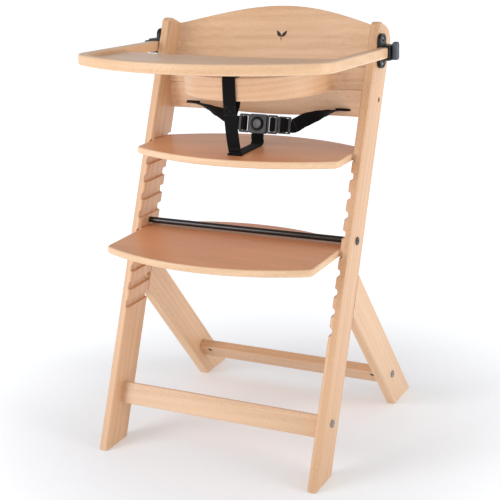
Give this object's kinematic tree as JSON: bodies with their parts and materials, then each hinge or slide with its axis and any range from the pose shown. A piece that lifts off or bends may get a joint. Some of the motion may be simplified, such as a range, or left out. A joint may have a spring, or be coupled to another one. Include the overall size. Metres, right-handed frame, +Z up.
{
  "type": "baby high chair",
  "caption": "Grow-along wooden high chair with leaning grooved posts, sliding seat and footrest, bent backrest, clamped tray, guard rail and lap harness.",
  "frame": {"origin": "middle of the chair's box, on the floor", "axes": "+Z up, -Y the way the child faces, +X to the right seen from the front"},
  "size_m": [0.5352, 0.539, 0.8177],
  "materials": {
    "frame_wood": "satin lacquer",
    "dowel_wood": "raw",
    "bent_wood": "satin lacquer",
    "board_wood": "satin lacquer",
    "tray_wood": "satin lacquer",
    "steel": "zinc plated",
    "dark_steel": "black",
    "tube_black": "gloss",
    "black_plastic": "matte",
    "knob_grey": "satin",
    "button_grey": "satin",
    "webbing": "woven"
  },
  "bodies": {
    "frame": {"post_left": "frame_wood", "post_right": "frame_wood", "rear_leg_left": "frame_wood", "rear_leg_right": "frame_wood", "front_stretcher": "frame_wood", "rear_stretcher": "frame_wood", "leg_dowels": "dowel_wood", "stretcher_dowels": "dowel_wood", "rail_dowels": "dowel_wood", "backrest": "bent_wood", "lower_back_panel": "bent_wood", "guard_rail": "bent_wood", "stretcher_bolts": "steel", "barrel_nuts": "steel", "backrest_screws": "steel", "panel_screws": "steel", "clamp_screws": "steel", "button_spring": "steel", "tie_bolts": "dark_steel", "tie_tube": "tube_black", "clamp_bracket_left": "black_plastic", "clamp_bracket_right": "black_plastic", "buckle_housing": "black_plastic", "crotch_strap_front": "webbing", "crotch_strap_rear": "webbing", "lap_belt_left": "webbing", "lap_belt_right": "webbing", "belt_stops": "webbing"},
    "tray": {"tray": "tray_wood"},
    "seat": {"seat_plate": "board_wood"},
    "footrest": {"footrest_plate": "board_wood"},
    "knob_left": {"clamp_knob_left": "knob_grey", "knob_stud_left": "steel"},
    "knob_right": {"clamp_knob_right": "knob_grey", "knob_stud_right": "steel"},
    "button": {"buckle_button": "button_grey"},
    "tongue_left": {"buckle_tongue_left": "black_plastic"},
    "tongue_right": {"buckle_tongue_right": "black_plastic", "belt_adjuster": "black_plastic"}
  },
  "joints": [
    {"name": "tray_slide", "type": "slide", "parent": "frame", "child": "tray", "axis": [0, -0.9988, 0.0489], "range_m": [-0.06, 0.026]},
    {"name": "knob_left_turn", "type": "hinge", "parent": "frame", "child": "knob_left", "pos_m": [-0.259, 0.10268, 0.748], "axis": [-1, 0, 0], "range_deg": [0, 540]},
    {"name": "knob_right_turn", "type": "hinge", "parent": "frame", "child": "knob_right", "pos_m": [0.259, 0.10268, 0.748], "axis": [1, 0, 0], "range_deg": [0, 540]},
    {"name": "seat_slide", "type": "slide", "parent": "frame", "child": "seat", "axis": [0, -1, 0], "range_m": [-0.02, 0.03]},
    {"name": "footrest_slide", "type": "slide", "parent": "frame", "child": "footrest", "axis": [0, -1, 0], "range_m": [-0.02, 0.03]},
    {"name": "button_press", "type": "slide", "parent": "frame", "child": "button", "axis": [0, 0.9659, -0.2588], "range_m": [0, 0.0016], "stiffness_N_per_m": 900, "springref_m": -0.002},
    {"name": "tongue_left_slide", "type": "slide", "parent": "frame", "child": "tongue_left", "axis": [-1, 0, 0], "range_m": [0, 0.025], "deforming": ["lap_belt_left"]},
    {"name": "tongue_right_slide", "type": "slide", "parent": "frame", "child": "tongue_right", "axis": [1, 0, 0], "range_m": [0, 0.025], "deforming": ["lap_belt_right"]}
  ]
}
